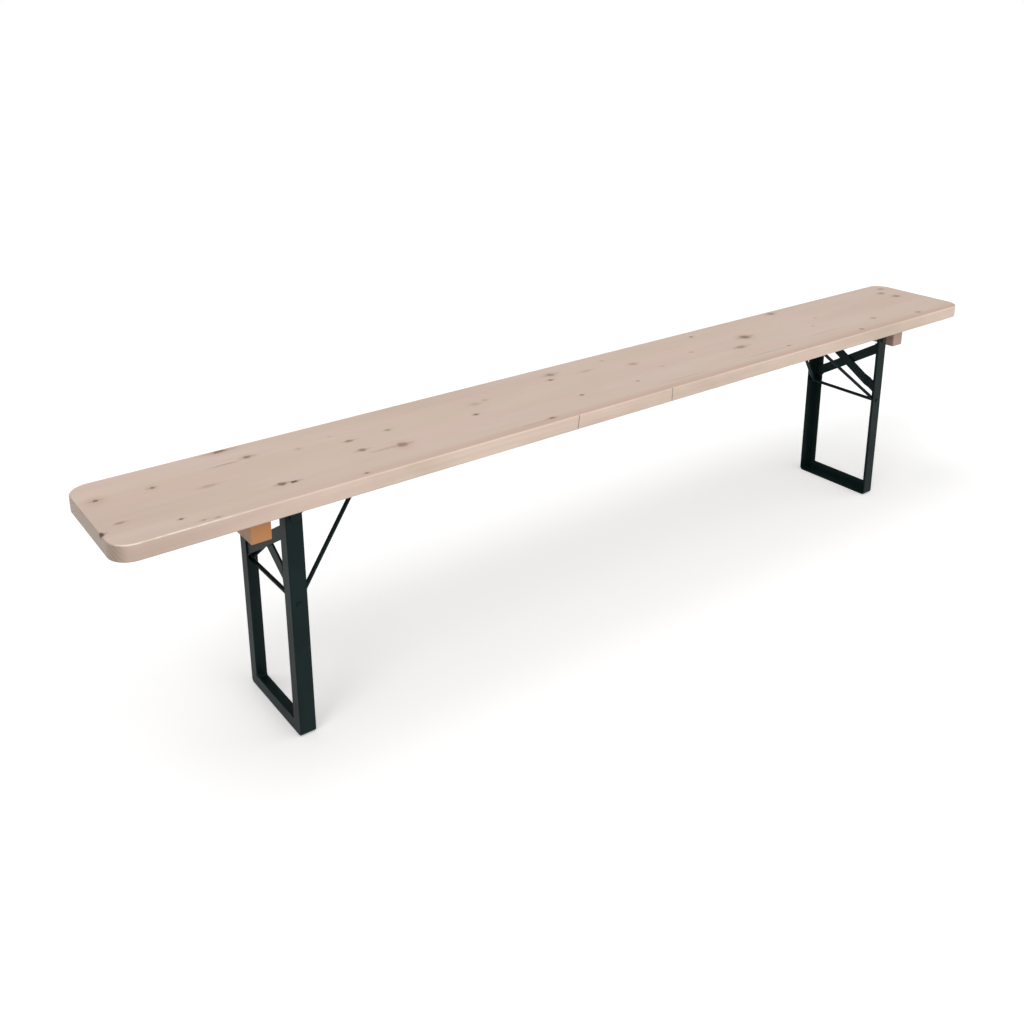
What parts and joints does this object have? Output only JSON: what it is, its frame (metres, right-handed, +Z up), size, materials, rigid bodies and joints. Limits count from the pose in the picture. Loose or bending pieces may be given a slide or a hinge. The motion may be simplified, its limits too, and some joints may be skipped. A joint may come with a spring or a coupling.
{
  "type": "folding bench",
  "caption": "Long wooden bench that folds flat: a plank on two hinged steel leg frames, each held open by a bent wire brace that locks under the plank.",
  "frame": {"origin": "on the floor under the middle of the plank", "axes": "+X along the plank, the picture's left end at -X; +Y across it, away from the camera; +Z up"},
  "size_m": [2.2, 0.26, 0.471],
  "materials": {
    "plank_wood": "satin",
    "batten_wood": "satin",
    "frame_steel": "satin",
    "hinge_steel": "satin",
    "zinc_steel": "satin",
    "spring_steel": "satin"
  },
  "bodies": {
    "seat": {"seat_plank": "plank_wood", "batten_left": "batten_wood", "batten_screws_left": "zinc_steel", "hinge_bracket_left_front": "hinge_steel", "hinge_bracket_left_rear": "hinge_steel", "hinge_screws_left": "zinc_steel", "pivot_rivets_left": "hinge_steel", "pivot_washers_left": "zinc_steel", "catch_plate_left": "hinge_steel", "catch_hook_left": "hinge_steel", "catch_screws_left": "zinc_steel", "tongue_rivet_left": "zinc_steel", "batten_right": "batten_wood", "batten_screws_right": "zinc_steel", "hinge_bracket_right_front": "hinge_steel", "hinge_bracket_right_rear": "hinge_steel", "hinge_screws_right": "zinc_steel", "pivot_rivets_right": "hinge_steel", "pivot_washers_right": "zinc_steel", "catch_plate_right": "hinge_steel", "catch_hook_right": "hinge_steel", "catch_screws_right": "zinc_steel", "tongue_rivet_right": "zinc_steel"},
    "leg_frame_left": {"leg_hoop_left": "frame_steel", "cross_bar_straight_left": "frame_steel", "cross_bar_joggled_left": "frame_steel"},
    "brace_left": {"brace_axle_left": "frame_steel", "brace_bow_left": "frame_steel"},
    "catch_tongue_left": {"catch_tongue_left": "spring_steel"},
    "leg_frame_right": {"leg_hoop_right": "frame_steel", "cross_bar_straight_right": "frame_steel", "cross_bar_joggled_right": "frame_steel"},
    "brace_right": {"brace_axle_right": "frame_steel", "brace_bow_right": "frame_steel"},
    "catch_tongue_right": {"catch_tongue_right": "spring_steel"}
  },
  "joints": [
    {"name": "leg_fold_left", "type": "hinge", "parent": "seat", "child": "leg_frame_left", "pos_m": [-0.8034, 0, 0.424], "axis": [0, -1, 0], "range_deg": [0, 90]},
    {"name": "brace_swing_left", "type": "hinge", "parent": "leg_frame_left", "child": "brace_left", "pos_m": [-0.8034, 0, 0.2595], "axis": [0, 1, 0], "range_deg": [0, 131.5]},
    {"name": "tongue_press_left", "type": "hinge", "parent": "seat", "child": "catch_tongue_left", "pos_m": [-0.58189, 0, 0.44055], "axis": [0, 1, 0], "range_deg": [0, 2], "stiffness_Nm_per_rad": 2},
    {"name": "leg_fold_right", "type": "hinge", "parent": "seat", "child": "leg_frame_right", "pos_m": [0.8034, 0, 0.424], "axis": [0, 1, 0], "range_deg": [0, 90]},
    {"name": "brace_swing_right", "type": "hinge", "parent": "leg_frame_right", "child": "brace_right", "pos_m": [0.8034, 0, 0.2595], "axis": [0, -1, 0], "range_deg": [0, 131.5]},
    {"name": "tongue_press_right", "type": "hinge", "parent": "seat", "child": "catch_tongue_right", "pos_m": [0.58189, 0, 0.44055], "axis": [0, -1, 0], "range_deg": [0, 2], "stiffness_Nm_per_rad": 2}
  ],
  "couplings": [
    {"joint": "brace_swing_left", "follows": "leg_fold_left", "ratio": 1.4608},
    {"joint": "brace_swing_right", "follows": "leg_fold_right", "ratio": 1.4608}
  ]
}
